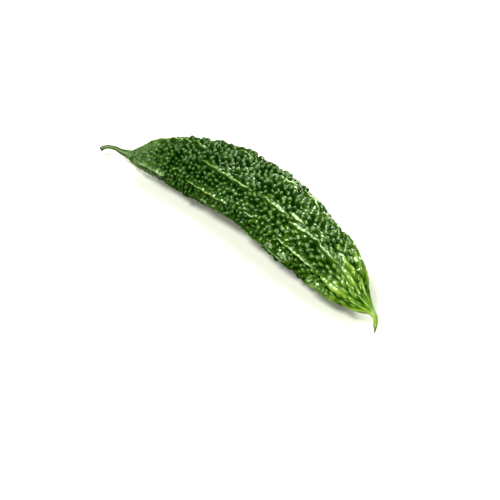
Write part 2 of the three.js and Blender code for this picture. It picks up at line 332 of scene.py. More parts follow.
class GourdForm(bpy.types.PropertyGroup):
    """Sizes of the relief on the skin."""

    ridge_height: length_property(
        "Ridge height", "Height of a ridge over the bottom of the hollows beside it", 3.6 * MM
    )
    wart_height: length_property(
        "Wart height", "Mean height of a wart over the hollows round it", 2.35 * MM
    )
    ridge_width: length_property("Ridge width", "Half the width of a ridge at its foot", 3.3 * MM)
    seed: IntProperty(
        name="Seed", description="Start of the random draws that place warts and weals", default=11
    )


def colour_property(name, description, default):
    """A setting for a colour, in linear red, green and blue."""
    return FloatVectorProperty(
        name=name, description=description, default=default, subtype="COLOR", size=3, min=0, max=1
    )


class GourdColours(bpy.types.PropertyGroup):
    """Colours of the skin, the stalk and the style."""

    # Hollow, wart and wart top run from the bottom of a crevice to the top of a wart. The hollow's
    # near-black green is partly the skin's own deeper green and partly painted shade in the crevices.
    # The wart top's pale green is partly its own colour and partly a painted highlight.
    shaded_hollow: colour_property("Hollow", "Skin between the warts", (0.0025, 0.02, 0.0004))
    wart: colour_property("Wart", "Skin half way up a wart", (0.012, 0.056, 0.0016))
    wart_top: colour_property("Wart top", "Skin on top of a wart", (0.047, 0.124, 0.013))
    ridge: colour_property("Ridge", "Crest of a ridge", (0.175, 0.3, 0.062))
    # The neck ridge's pale green is partly the crest's own colour and partly a painted highlight that
    # takes the place of its gloss.
    neck_ridge_and_highlight: colour_property("Neck ridge", "Crest of a ridge at the stalk", (0.29, 0.41, 0.17))
    # A painted glint: pale colour on stretches of the crests in the lower half, standing in for a
    # reflected highlight.
    ridge_glint: colour_property(
        "Waxed ridge", "Shiny stretches of a ridge in the lower half", (0.37, 0.52, 0.21)
    )
    # The ripe hollow's dark green is partly the skin's own colour and partly painted shade in the
    # grooves between the ribs.
    shaded_ripe_hollow: colour_property(
        "Ripe hollow", "Skin between the ribs at the beak", (0.01, 0.042, 0.001)
    )
    ripe_skin: colour_property(
        "Ripe skin", "Skin on the flanks of the ribs at the beak", (0.048, 0.132, 0.0036)
    )
    ripe_rib: colour_property("Ripe rib", "Skin on the ribs at the beak", (0.23, 0.38, 0.04))
    neck: colour_property("Neck", "Skin at the stalk", (0.125, 0.185, 0.078))
    # The stalk is dark between its corners and pale on them: partly its own ribbing, and partly painted
    # shade and painted highlight.
    stalk: colour_property("Stalk", "Skin of the stalk", (0.03, 0.062, 0.014))
    stalk_corner_and_highlight: colour_property("Stalk light", "Corners of the stalk", (0.185, 0.275, 0.11))
    cut: colour_property("Cut", "Dried cut of the stalk", (0.05, 0.047, 0.016))
    style: colour_property("Style", "Dried foot of the style", (0.2, 0.13, 0.05))


class GourdStage(bpy.types.PropertyGroup):
    """The camera, the lights and the floor."""

    azimuth: angle_property(
        "Azimuth", "Turn of the camera round the gourd, from looking along +Y", 45.9
    )
    elevation: angle_property("Elevation", "Height of the camera as an angle over the floor", 39.8)
    distance: length_property("Distance", "From the camera to the middle of the gourd", 0.75)
    lens: FloatProperty(
        name="Lens",
        description="Focal length of the camera, in millimetres",
        default=87.0,
        min=10,
        unit="CAMERA",
    )
    key: FloatProperty(
        name="Key light",
        description="Power of the large light over the camera, in watts",
        default=19.0,
        min=0,
        unit="POWER",
    )
    sky: FloatProperty(
        name="Sky", description="Strength of the even light from all round", default=0.06, min=0
    )


# ---- Curves and frames ----


def between(x, low, high):
    """0 on low's side, 1 on high's side, and a smooth S from one to the other."""
    t = np.clip((x - low) / (high - low), 0, 1)
    return t * t * (3 - 2 * t)


def sums(steps):
    """The running sum of the steps, from 0."""
    return np.concatenate([[0], np.cumsum(steps)])


def cubic(t, start, end, start_slope, end_slope, span=1):
    """Cubic from start to end, t from 0 to 1 over a span, by its slopes at the two ends."""
    return (
        (2 * t**3 - 3 * t**2 + 1) * start
        + (t**3 - 2 * t**2 + t) * span * start_slope
        + (3 * t**2 - 2 * t**3) * end
        + (t**3 - t**2) * span * end_slope
    )


def through(stops, x):
    """Cubic through [position, value] stops: each inner slope is the mean of its two neighbours'."""
    at, value = np.array(stops, float).T
    secant = np.diff(value) / np.diff(at)
    slope = np.concatenate([secant[:1], (secant[1:] + secant[:-1]) / 2, secant[-1:]])
    i = np.clip(np.searchsorted(at, x) - 1, 0, len(at) - 2)
    span = at[i + 1] - at[i]
    return cubic((x - at[i]) / span, value[i], value[i + 1], slope[i], slope[i + 1], span)


def curve_through(points, per_span=200):
    """Centripetal Catmull-Rom curve through the points, as a dense polyline.

    Knots are apart by the square root of the distance, and the slope at a point comes from its
    two neighbours. The ends run on straight.
    """
    p = np.array(points, float)
    p = np.vstack([2 * p[0] - p[1], p, 2 * p[-1] - p[-2]])
    a, b, c, d = p[:-3], p[1:-2], p[2:-1], p[3:]
    ab, bc, cd = (np.sqrt(np.linalg.norm(v, axis=1))[:, None] for v in (b - a, c - b, d - c))
    start = ((b - a) / ab - (c - a) / (ab + bc) + (c - b) / bc) * bc
    end = ((c - b) / bc - (d - b) / (bc + cd) + (d - c) / cd) * bc
    t = np.linspace(0, 1, per_span, endpoint=False)[:, None]
    return np.vstack([cubic(t, *ends) for ends in zip(b, c, start, end)] + [p[-2:-1]])


def frames_on(line, shares):
    """Point, way along and outside of the bend at shares of a dense line's length, and its length."""
    reach = sums(np.linalg.norm(np.diff(line, axis=0), axis=1))
    share = reach / reach[-1]
    way = np.gradient(line, axis=0)
    way /= np.linalg.norm(way, axis=1)[:, None]
    point, along = (
        np.stack([np.interp(shares, share, values[:, k]) for k in (0, 1)], axis=-1)
        for values in (line, way)
    )
    along /= np.linalg.norm(along, axis=-1, keepdims=True)
    outward = np.stack([-along[..., 1], along[..., 0]], axis=-1)
    return point, along, outward, reach[-1]


def even_turns(rows, columns):
    """Angles for a grid of rings: even steps of a full turn, the same in every row."""
    return np.tile(np.arange(columns) * FULL_TURN / columns, (rows, 1))


def tube(line, shares, angles, radii):
    """Rings round a level line: point + radius x (cos angle x outside of the bend + sin angle x up)."""
    point, _, outward, _ = frames_on(line, shares)
    side = radii * np.cos(angles)
    level = point[:, None, :] + side[..., None] * outward[:, None, :]
    return np.concatenate([level, (radii * np.sin(angles))[..., None]], axis=-1)


def laid_down(points, offset=0.0):
    """Points of the bend's plane rolled about x, pitched about y and moved by offset."""
    x, y, z = np.moveaxis(points, -1, 0)
    y, z = y * math.cos(ROLL) - z * math.sin(ROLL), y * math.sin(ROLL) + z * math.cos(ROLL)
    x, z = x * math.cos(PITCH) + z * math.sin(PITCH), -x * math.sin(PITCH) + z * math.cos(PITCH)
    return np.stack([x, y, z], axis=-1) + offset


FRUIT_LINE = curve_through(CENTRE_LINE)
FRUIT_LENGTH = frames_on(FRUIT_LINE, np.array([0.0]))[3]


def frame_offset():
    """Where the frame stands: the low corner of its stalk's box, less that of the same stalk here."""
    rows, columns = FRAME_STALK_GRID
    shares = np.linspace(0, 1, rows)
    angles = even_turns(rows, columns)
    radii = through(STALK_OUTLINE, shares)[:, None] * (1 + STALK_CORNER * np.cos(STALK_ANGLES * angles))
    rings = tube(curve_through(STALK_LINE), shares, angles, radii)
    along = frames_on(FRUIT_LINE, np.array([0.0]))[1][0]
    rings[..., :2] -= GAP * along
    lowest = laid_down(rings).reshape(-1, 3).min(axis=0)
    return np.array(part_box("stalk")[0]) / MM - lowest


OFFSET = frame_offset()


# ---- Meshes ----


def closed_mesh(name, rings, attributes):
    """A closed mesh over rings of equally many points, with a fan on its first and last ring.

    An attribute holds a float for each point of the rings, or one for each ring or each column.
    """
    rows, columns = rings.shape[:2]
    place = np.arange(rows * columns).reshape(rows, columns)
    here, beside = place[:-1], np.roll(place, -1, axis=1)[:-1]
    above, across = place[1:], np.roll(place, -1, axis=1)[1:]
    quads = np.stack([here, beside, across, above], axis=-1).reshape(-1, 4)
    first = np.full(columns, rows * columns)
    last = first + 1
    foot = np.stack([first, np.roll(place[0], -1), place[0]], axis=-1)
    head = np.stack([last, place[-1], np.roll(place[-1], -1)], axis=-1)
    points = np.vstack([rings.reshape(-1, 3), rings[0].mean(axis=0), rings[-1].mean(axis=0)]) * MM
    loops = np.concatenate([quads.ravel(), foot.ravel(), head.ravel()]).astype(np.int32)
    sizes = np.concatenate([np.full(len(quads), 4), np.full(2 * columns, 3)])

    mesh = bpy.data.meshes.new(name)
    mesh.vertices.add(len(points))
    mesh.vertices.foreach_set("co", points.astype(np.float32).ravel())
    mesh.loops.add(len(loops))
    mesh.loops.foreach_set("vertex_index", loops)
    mesh.polygons.add(len(sizes))
    mesh.polygons.foreach_set("loop_start", sums(sizes)[:-1].astype(np.int32))
    mesh.polygons.foreach_set("use_smooth", np.ones(len(sizes), bool))
    mesh.update(calc_edges=True)
    if mesh.validate():
        raise RuntimeError(f"{name} has faces that don't fit together")
    for label, values in attributes.items():
        grid = np.broadcast_to(values, (rows, columns))
        flat = np.concatenate([grid.ravel(), [grid[0].mean(), grid[-1].mean()]])
        layer = mesh.attributes.new(label, "FLOAT", "POINT")
        layer.data.foreach_set("value", flat.astype(np.float32))
    return mesh


def add_piece(name, rings, attributes, material, node):
    """Puts a closed mesh into the scene in the place of a node of the frame."""
    piece = bpy.data.objects.new(name, closed_mesh(name, rings, attributes))
    bpy.context.scene.collection.objects.link(piece)
    piece.data.materials.append(material)
    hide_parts(node)
    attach(piece, "root")


# ---- Relief of the skin ----


def turned(angle):
    """The same angle from -pi to pi."""
    return (angle + math.pi) % FULL_TURN - math.pi


def ridge_angle(ridge, shares):
    """A ridge's angle: its own place, plus an even twist and a slow sine along the fruit."""
    sway = RIDGE_SWAY * np.sin(FULL_TURN * (RIDGE_WAVES * shares + RIDGE_PHASES[ridge]))
    return np.radians(RIDGE_ANGLES[ridge] + RIDGE_TWIST * (shares - 0.5) + sway)


def ridge_rooms(shares):
    """For each ridge, its angle at the shares, and the angle from there on to the next ridge."""
    lines = [ridge_angle(ridge, shares) for ridge in range(len(RIDGE_ANGLES))]
    return [(line, np.mod(after - line, FULL_TURN)) for line, after in zip(lines, lines[1:] + lines[:1])]


def placed_weals(draw, height, width):
    """The weals of every ridge, one row each.

    A row holds start and length in millimetres along the centre line, the angle at its start,
    middle and end, height, half width at its foot, the phase of its wave and how far it waves.
    The listed weals come first. Then the free stretches of the ridges in RIDGE_TEETH fill up with
    long weals and short, high teeth, which lie by turns to either side of the ridge's line.
    """
    rows = []
    for ridge, start, end, *beside, tall, broad in WEALS:
        line = ridge_angle(ridge, np.linspace(start, end, 3)) + np.radians(beside)
        length = (end - start) * FRUIT_LENGTH
        half = width * broad * draw.uniform(*WEAL_WIDTHS)
        phase = draw.uniform(*ANY_PHASE)
        wave = WIDE_WAVE if ridge == 0 else WEAL_WAVE
        rows.append((start * FRUIT_LENGTH, length, *line, height * tall, half, phase, wave))
    for ridge, toothed_share in RIDGE_TEETH.items():
        taken = [weal[1:3] for weal in WEALS if weal[0] == ridge]
        start = FIRST_START + draw.uniform(0, START_SPREAD)
        side = 1
        while start < LAST_START:
            toothed = draw.uniform() < toothed_share and TOOTHED_STRETCH[0] < start < TOOTHED_STRETCH[1]
            kind = TOOTH if toothed else LONG_WEAL
            length = draw.uniform(*kind["length"])
            end = start + length / FRUIT_LENGTH
            ends = [high for low, high in taken if start < high - OVER_END and end > low + OVER_START]
            if ends:
                start = max(ends)
                continue
            tall = height * draw.uniform(*kind["height"]) * float(between(start, 0, GROWN_SHARE))
            half = width * draw.uniform(*kind["width"])
            aside = side * abs(draw.normal(*ASIDE))
            bends = draw.normal(0, BEND_SPREAD, 2)
            beside = np.radians([aside + bends[0], aside, aside + bends[1]])
            line = ridge_angle(ridge, np.linspace(start, end, 3)) + beside
            phase = draw.uniform(*ANY_PHASE)
            rows.append((start * FRUIT_LENGTH, length, *line, tall, half, phase, WEAL_WAVE))
            side = -side
            start += (length * draw.uniform(*NEXT_START) + draw.uniform(*NEXT_GAP)) / FRUIT_LENGTH
    return np.array(rows)


def across_weals(weals, place, angle):
    """For each weal and each point: the place along it from -1 to 1, and how far beside its line.

    The line is a parabola through its three angles, plus a slow sine.
    """
    start, length, first, middle, last, _, _, phase, wave = weals.T[:, :, None]
    x = (place - start - length / 2) / (length / 2)
    line = middle + (last - first) / 2 * x + ((first + last) / 2 - middle) * x**2
    aside = wave * np.sin(x * length / 2 / WAVE_RADIAN + phase)
    return x, turned(angle - line) * through(OUTLINE, place / FRUIT_LENGTH) - aside


def held(stops, share):
    """The curve through the stops, held at its value at the spiral's ends beyond them."""
    return np.interp(share, SPIRAL_SHARES, through(stops, SPIRAL_SHARES))


def pitch_at(share, angle):
    """Distance between warts: pitch x (1 + spread x cos of the angle from the widest side)."""
    return held(WART_PITCH, share) * (1 + WART_SPREAD * np.cos(angle - WIDEST_SIDE))


def wart_spiral(draw):
    """First places of the warts, as shares of the length and angles.

    They lie on a spiral that turns by the golden ratio, as dense as the pitch asks. Each angle
    from the widest side grows by 2 x spread x its sine, which thins them out there.
    """
    pitch = through(WART_PITCH, SPIRAL_SHARES)
    stretch = through(WART_STRETCH, SPIRAL_SHARES)
    girth = FULL_TURN * through(OUTLINE, SPIRAL_SHARES)
    density = girth * FRUIT_LENGTH / (WART_ROOM * stretch * pitch**2)
    total = sums((density[1:] + density[:-1]) / 2 * np.diff(SPIRAL_SHARES))
    count = int(total[-1])
    share = np.interp((np.arange(count) + 0.5) / count * total[-1], total, SPIRAL_SHARES)
    angle = FULL_TURN * GOLDEN_RATIO * np.arange(count) - WIDEST_SIDE
    angle = turned(angle + 2 * WART_SPREAD * np.sin(angle) + WIDEST_SIDE)
    shift = draw.normal(0, FIRST_SHIFT, count) * held(WART_PITCH, share)
    return share, angle + shift / through(OUTLINE, share)


def scattered_warts(draw, weals):
    """Share of the length, angle and pitch of each wart, and its freedom from weals, 0 to 1.

    Where two of the spiral's warts stand closer than their pitch, they are pushed apart. Twice,
    the warts on the flanks of weals are moved out to the feet. A last shift is random.
    """
    share, angle = wart_spiral(draw)
    count = len(share)
    for step in range(PUSHES):
        radius = through(OUTLINE, share)
        near = pitch_at(share, angle)
        stretch = held(WART_STRETCH, share)
        along = (share[:, None] - share[None, :]) * FRUIT_LENGTH / (near * stretch)[:, None]
        around = turned(angle[:, None] - angle[None, :]) * (radius / near)[:, None]
        apart = np.hypot(along, around) + LEAST_APART
        np.fill_diagonal(apart, np.inf)
        push = PUSH * np.clip(CROWDED - apart, 0, None) / apart
        share = share + (push * along).sum(axis=1) * near * stretch / FRUIT_LENGTH
        share = np.clip(share, *WART_ENDS)
        angle = turned(angle + (push * around).sum(axis=1) * near / radius)
        if step in CLEARING_PUSHES:
            x, beside = across_weals(weals, share * FRUIT_LENGTH, angle)
            foot = CLEAR_FOOT * weals[:, HALF_WIDTH] * np.sqrt(np.clip(1 - x**2, 0, 1))
            inside = (np.abs(beside) < foot) & (np.abs(beside) > WEAL_TOP * foot)
            shift = np.where(inside, np.sign(beside) * foot - beside, 0).sum(axis=0)
            angle = angle + np.clip(shift, -LONGEST_MOVE, LONGEST_MOVE) / radius
    pitch = held(WART_PITCH, share)
    angle = angle + draw.normal(0, LAST_SHIFT, count) * pitch / radius
    share = np.clip(share + draw.normal(0, LAST_SHIFT, count) * pitch / FRUIT_LENGTH, *WART_ENDS)
    x, beside = across_weals(weals, share * FRUIT_LENGTH, angle)
    foot = weals[:, HALF_WIDTH] * np.sqrt(np.clip(1 - x**2, 1e-6, 1))
    nearest = np.where(np.abs(x) < 1, np.abs(beside) / foot, np.inf).min(axis=0)
    return share, angle, pitch_at(share, angle), between(nearest, *WART_FREE)


def wart_relief(draw, weals, shares, angles, height):
    """Height of the warts over the grid, how near a point is to its wart's top, and a random tone.

    A wart is a dome, height x (1 - q)^0.5, where q is the squared distance in its own radii, and
    the highest dome counts, so a sharp hollow runs between neighbours. Nearness to the top is
    1 - q. A wart is taller where it is larger and its neighbours are farther off, and it leans.
    """
    share, angle, pitch, free = scattered_warts(draw, weals)
    count = len(share)
    size = np.clip(draw.normal(1, SIZE_SPREAD, count), *WART_SIZES)
    broad = WART_RADIUS * pitch * size
    long = broad * through(WART_STRETCH, share) * draw.uniform(*WART_LENGTHS, count)
    lean = draw.normal(0, LEAN_SPREAD, count)
    tall = height * through(WART_LEVEL, share) * (1 + draw.normal(0, HEIGHT_SPREAD, count))
    tall = tall * size**SIZE_POWER * (LEAST_HEIGHT + (1 - LEAST_HEIGHT) * pitch / FULL_PITCH)
    tall = tall * (LOWERED + (1 - LOWERED) * free)
    tone = draw.uniform(0, 1, count)

    own = (slice(None), None, None)
    rows, columns = angles.shape
    middle_row = np.interp(share, shares, np.arange(rows)).round().astype(int)
    middle_column = np.round(np.mod(angle, FULL_TURN) / FULL_TURN * columns).astype(int)
    up, aside = (np.arange(-reach, reach + 1) for reach in WART_WINDOW)
    row = np.clip(middle_row[own] + up[:, None], 0, rows - 1)
    column = (middle_column[own] + aside) % columns
    row, column = np.broadcast_arrays(row, column)
    along = (shares[row] - share[own]) * FRUIT_LENGTH
    around = turned(angles[row, column] - angle[own]) * through(OUTLINE, shares)[row]
    along, around = along + lean[own] * around, around - CROSS_LEAN * lean[own] * along
    q = (along / long[own]) ** 2 + (around / broad[own]) ** 2
    rise = np.clip(1 - q, 0, 1)
    dome = tall[own] * rise**0.5

    order = np.argsort(dome, axis=None)
    place = (row * columns + column).ravel()[order]
    grids = []
    for values, ground in ((dome, 0.0), (rise, 0.0), (np.broadcast_to(tone[own], dome.shape), 0.5)):
        grid = np.full(rows * columns, ground)
        grid[place] = values.ravel()[order]
        grids.append(grid.reshape(rows, columns))
    return grids


def weal_relief(weals, shares, angles):
    """Height of the weals over the grid, and how deep a point lies inside one.

    Across, a weal is a tent with a round top: height x (1 - (sqrt(u^2 + c^2) - c) / (sqrt(1 + c^2)
    - c)), where u is the distance from its line over its half width, and c is its bluntness.
    Along it, the half width falls as sqrt(1 - x^2) and the height as 1 - x^6, so it ends in a
    point, and a fine sine ripples its crest. The depth goes from 0 at its foot to 1 on its line.
    """
    relief = np.zeros(angles.shape)
    inside = np.zeros(angles.shape)
    place = shares * FRUIT_LENGTH
    for weal in weals:
        start, length, _, _, _, tall, half, phase, _ = weal
        rows = (place > start) & (place < start + length)
        x, beside = across_weals(weal[None, :], place[rows, None], angles[rows])
        foot = half * np.sqrt(np.clip(1 - x**2, LEAST_TAPER, 1))
        u = np.sqrt((beside / foot) ** 2 + BLUNT**2) - BLUNT
        tent = 1 - u / (math.sqrt(1 + BLUNT**2) - BLUNT)
        ripple = 1 + RIPPLE * np.sin(x * length / 2 / RIPPLE_RADIAN + phase)
        relief[rows] = np.maximum(relief[rows], tall * ripple * (1 - x**6) * np.clip(tent, 0, 1))
        inside[rows] = np.maximum(inside[rows], 1 - np.abs(beside) / foot)
    return relief, inside


def rib_relief(draw, shares, angles, height):
    """Height of the ribs that run up to the beak, and how near a point is to a rib's line.

    There is one on each ridge and one between each two. Across, a rib is height x (1 - u^2)^0.9,
    where u goes from 0 on its line to 1 at its foot. From its own start, the height grows as
    g^0.7 and the width from half to whole, where g goes smoothly from 0 to 1, and a sine sways it.
    """
    count = len(RIDGE_ANGLES)
    relief = np.zeros(angles.shape)
    inside = np.zeros(angles.shape)
    radius = through(OUTLINE, shares)[:, None]
    for line, room in ridge_rooms(shares):
        half_way = line + room * draw.uniform(*RIB_MIDDLES)
        for middle, (start, tall, broad) in ((line, RIB_ON_RIDGE), (half_way, RIB_BETWEEN)):
            start = start + draw.uniform(-RIB_START_SPREAD, RIB_START_SPREAD)
            wave = RIB_WAVE * np.sin(shares * RIB_WAVES + draw.uniform(*ANY_PHASE))
            wave = wave * between(shares, *RIB_WAVE_FADE)
            across = turned(angles - middle[:, None]) * radius + wave[:, None]
            grown = between(shares, start, start + RIB_GROWTH)[:, None]
            half = broad * math.pi * radius / count * (0.5 + 0.5 * grown)
            dome = grown**0.7 * np.clip(1 - (across / half) ** 2, 0, 1) ** 0.9
            relief = np.maximum(relief, height * tall * dome)
            inside = np.maximum(inside, grown * np.clip(1 - np.abs(across) / half, 0, 1))
    return relief, inside


def valleys(shares, angles):
    """How deep a point lies between its two ridges: sin^2 of pi x its way from one to the next.

    The valleys fade out at both ends of the fruit.
    """
    depth = np.zeros(angles.shape)
    for line, room in ridge_rooms(shares):
        way = np.mod(angles - line[:, None], FULL_TURN) / room[:, None]
        depth = np.where(way < 1, np.sin(math.pi * way) ** 2, depth)
    return depth * (between(shares, *VALLEY_IN) * between(shares, *VALLEY_OUT))[:, None]


def skin_shares():
    """Shares of the length for the rows of the skin, as close as ROW_STEP asks."""
    fine = np.linspace(0, 1, 4000)
    rate = 1 / through(ROW_STEP, fine)
    total = sums((rate[1:] + rate[:-1]) / 2)
    return np.interp(np.linspace(0, total[-1], SKIN_ROWS), total, fine)


def skin_surface(form):
    """Rings of the skin and its attributes.

    The relief is the highest of warts, weals and ribs, cut off a little over the ridges' height,
    raised in the hollows at the beak and lowered in the valleys. The radius is the outline with
    its fullness, less what the relief leaves below the ridges' tops, and points that would lie
    under the floor are pressed up to it.
    """
    draw = np.random.default_rng(form.seed)
    height = form.ridge_height / MM
    shares = skin_shares()
    angles = even_turns(SKIN_ROWS, SKIN_COLUMNS)
    weals = placed_weals(draw, height, form.ridge_width / MM)
    warts, crown, tone = wart_relief(draw, weals, shares, angles, form.wart_height / MM)
    lines, inside = weal_relief(weals, shares, angles)
    ribs, rib_inside = rib_relief(draw, shares, angles, height)
    weal_crown = WEAL_CROWN[0] + WEAL_CROWN[1] * inside
    line_crown = np.where(ribs > lines, between(rib_inside, *RIB_CROWN), weal_crown)
    inside = np.maximum(inside, rib_inside)
    lines = np.maximum(lines, ribs)
    warts = warts * (1 - between(inside, *WART_FADE))
    relief = np.minimum(np.maximum(warts, lines), HIGHEST * height)
    relief = np.maximum(relief, RIPE_LEVEL * height * between(shares, *RIPE_SHARES)[:, None])
    relief = relief - VALLEY_DEPTH * valleys(shares, angles) * (1 - between(inside, *VALLEY_FILL))

    outline = (through(OUTLINE, shares) + np.interp(shares, *np.transpose(FULLNESS)))[:, None]
    scale = np.minimum(1, outline / FULL_RELIEF_RADIUS)
    rings = laid_down(tube(FRUIT_LINE, shares, angles, outline - (height - relief) * scale), OFFSET)
    rings[..., 2] = np.maximum(rings[..., 2], 0)
    attributes = {
        "crown": np.where(lines > warts, line_crown, crown),
        "weal": inside * between(lines / height, *CREST_LEVEL),
        "tone": tone,
        "share": shares[:, None],
    }
    return rings, attributes


def stalk_surface():
    """Rings of the stalk and its attributes.

    The radius is its outline x (1 + corner x (cos of five times the angle + fine long streaks)),
    and swells where it grows from the fruit. Smaller rings lie on the flat cut at its end.
    """
    rows, columns = STALK_GRID
    shares = np.linspace(0, 1, rows)
    angles = even_turns(rows, columns)
    corner = np.cos(STALK_ANGLES * angles)
    sway = STREAK_SWAY * np.sin(STREAK_WAVES * shares[:, None])
    streak = STREAK_HEIGHT * np.cos(STREAKS * angles + sway)
    radii = through(STALK_OUTLINE, np.clip(shares * (1 + ROOT_SHARE) - ROOT_SHARE, 0, 1))[:, None]
    swell = ROOT_SWELL * between(shares, *SWELL_SHARES)[:, None]
    radii = radii * (1 + STALK_CORNER * (corner + streak)) + swell
    rings = tube(curve_through([STALK_ROOT] + STALK_LINE[1:]), shares, angles, radii)
    end = rings[-1]
    middle = end.mean(axis=0)
    cut = [middle + (end - middle) * share for share in CUT_RINGS]
    attributes = {
        "corner": 0.5 + 0.5 * corner[0],
        "along": np.concatenate([shares, CUT_SHARES])[:, None],
    }
    return laid_down(np.concatenate([rings, cut]), OFFSET), attributes


def style_surface():
    """Rings of the dried style: a short cone that turns off to one side by the square of its length.

    Wrinkles wind round it, as 1 + depth x cos(number x angle + twist x length), and grow from the
    beak on.
    """
    rows, columns = STYLE_GRID
    point, along, outward, _ = frames_on(FRUIT_LINE, np.array([1.0]))
    reach = np.linspace(-STYLE_ROOT, STYLE_LENGTH + GAP, rows)
    drift = -STYLE_CURL * (np.clip(reach, 0, None) / STYLE_LENGTH) ** 2
    line = point + reach[:, None] * along + drift[:, None] * outward
    shares = np.linspace(0, 1, rows)
    angles = even_turns(rows, columns)
    taper = np.linspace(STYLE_RADIUS, STYLE_END_RADIUS, rows)[:, None]
    wrinkle = WRINKLE_DEPTH * np.cos(WRINKLES * angles + WRINKLE_TWIST * reach[:, None])
    radii = taper * (1 + wrinkle * between(reach, *WRINKLED)[:, None])
    return laid_down(tube(line, shares, angles, radii), OFFSET), {"along": shares[:, None]}


# ---- Materials ----


class Tree:
    """A material's node tree, with short ways to add nodes and join them.

    Further settings are named after the shader's sockets, with _ for a space.
    """

    def __init__(self, name, roughness, **shader):
        self.material = bpy.data.materials.new(name)
        self.material.use_nodes = True
        self.tree = self.material.node_tree
        self.shader = self.tree.nodes["Principled BSDF"]
        self.look("Roughness", roughness)
        for socket, value in shader.items():
            self.look(socket.replace("_", " "), value)
        self.place = self.add("ShaderNodeTexCoord", {}).outputs["Object"]

    def feed(self, socket, value):
        """Joins a node's output to a socket, or sets the socket to a number or colour."""
        if isinstance(value, bpy.types.NodeSocket):
            self.tree.links.new(value, socket)
        elif socket.type == "RGBA":
            socket.default_value = (*value, 1)
        else:
            socket.default_value = value

    def look(self, socket, value):
        self.feed(self.shader.inputs[socket], value)

    def add(self, kind, inputs, **settings):
        """A node with settings of its own, and outputs, numbers or colours at its sockets."""
        node = self.tree.nodes.new(kind)
        for name, value in settings.items():
            setattr(node, name, value)
        for socket, value in inputs.items():
            self.feed(node.inputs[socket], value)
        return node

    def attribute(self, name):
        return self.add("ShaderNodeAttribute", {}, attribute_name=name).outputs["Fac"]

    def ramp(self, factor, stops):
        """Colours or greys at places from 0 to 1, in rising order."""
        node = self.add("ShaderNodeValToRGB", {0: factor})
        elements = node.color_ramp.elements
        elements[0].position = stops[0][0]
        elements[1].position = stops[-1][0]
        for at, _ in stops[1:-1]:
            elements.new(at)
        for element, (_, value) in zip(elements, stops):
            element.color = (*value, 1) if hasattr(value, "__len__") else (value, value, value, 1)
        return node.outputs["Color"]

    def noise(self, scale, detail=3.0, roughness=0.55, place=None):
        inputs = {"Scale": scale, "Detail": detail, "Roughness": roughness}
        inputs["Vector"] = self.place if place is None else place
        return self.add("ShaderNodeTexNoise", inputs).outputs["Fac"]

    def stretched(self, scale, along):
        """Noise drawn out along x, so that it runs in streaks."""
        inputs = {"Vector": self.place, "Scale": (along, 1, 1)}
        drawn = self.add("ShaderNodeMapping", inputs, vector_type="POINT").outputs[0]
        return self.noise(scale, 3, 0.6, drawn)

    def mix(self, factor, a, b, blend="MIX"):
        """Colour a at factor 0 and b at factor 1, or a times b with the blend MULTIPLY."""
        inputs = {0: factor, 6: a, 7: b}
        return self.add("ShaderNodeMix", inputs, data_type="RGBA", blend_type=blend).outputs[2]

    def times(self, colour, by):
        return self.mix(1.0, colour, by, "MULTIPLY")

    def maths(self, operation, a, b):
        return self.add("ShaderNodeMath", {0: a, 1: b}, operation=operation).outputs[0]

    def span(self, value, low, high, to_low=0.0, to_high=1.0):
        """A value's place between low and high, smoothly, as a number from to_low to to_high."""
        inputs = dict(enumerate((value, low, high, to_low, to_high)))
        return self.add("ShaderNodeMapRange", inputs, interpolation_type="SMOOTHSTEP").outputs[0]

    def bump(self, height, strength, distance):
        inputs = {"Height": height, "Strength": strength, "Distance": distance}
        self.look("Normal", self.add("ShaderNodeBump", inputs).outputs[0])


def skin_colour(tree, colours, crown, weal, share, patches, mottle):
    """The skin's colour before its tones: by height on a wart, with painted shade in the hollows and a
    partly painted highlight on the tops, then the neck, the crests with their painted glints, and the
    beak.
    """
    # Painted shade in the hollows, rising to a partly painted highlight on the wart tops.
    heights = [(0.06, colours.shaded_hollow), (0.5, colours.wart), (1.0, colours.wart_top)]
    skin = tree.times(tree.ramp(crown, heights), tree.ramp(share, SKIN_SHADE))

    patchy = tree.maths("ADD", share, tree.span(patches, 0.3, 0.7, -0.035, 0.035))
    streaks = tree.span(tree.stretched(750, 0.4), 0.4, 0.55)
    neck = tree.mix(streaks, tree.times(skin, NECK_SHADE), colours.neck)
    skin = tree.mix(tree.span(patchy, 0.16, 0.045, 0.0, 0.95), skin, neck)

    # Crests turn paler towards the stalk, partly from their own colour and partly from a painted
    # highlight.
    crest = tree.mix(tree.span(share, 0.26, 0.14), colours.ridge, colours.neck_ridge_and_highlight)
    # Painted glints: stretches of the crests in the lower half, broken up by the mottle, turn pale.
    glinted = tree.maths("MULTIPLY", tree.ramp(share, GLINT_STRETCH), tree.span(mottle, 0.44, 0.56))
    crest = tree.mix(glinted, crest, colours.ridge_glint)
    broken = tree.span(mottle, 0.3, 0.6, 0.45, 1.0)
    skin = tree.mix(tree.maths("MULTIPLY", tree.span(weal, 0.7, 0.97), broken), skin, crest)

    # Partly painted shade in the grooves between the ribs at the beak, rising to the ribs' own colour.
    heights = [(0.08, colours.shaded_ripe_hollow), (0.45, colours.ripe_skin), (1.0, colours.ripe_rib)]
    ripe = tree.mix(tree.span(weal, 0.3, 0.8), tree.ramp(crown, heights), colours.ripe_rib)
    return tree.mix(tree.span(patchy, 0.73, 0.97), skin, ripe)


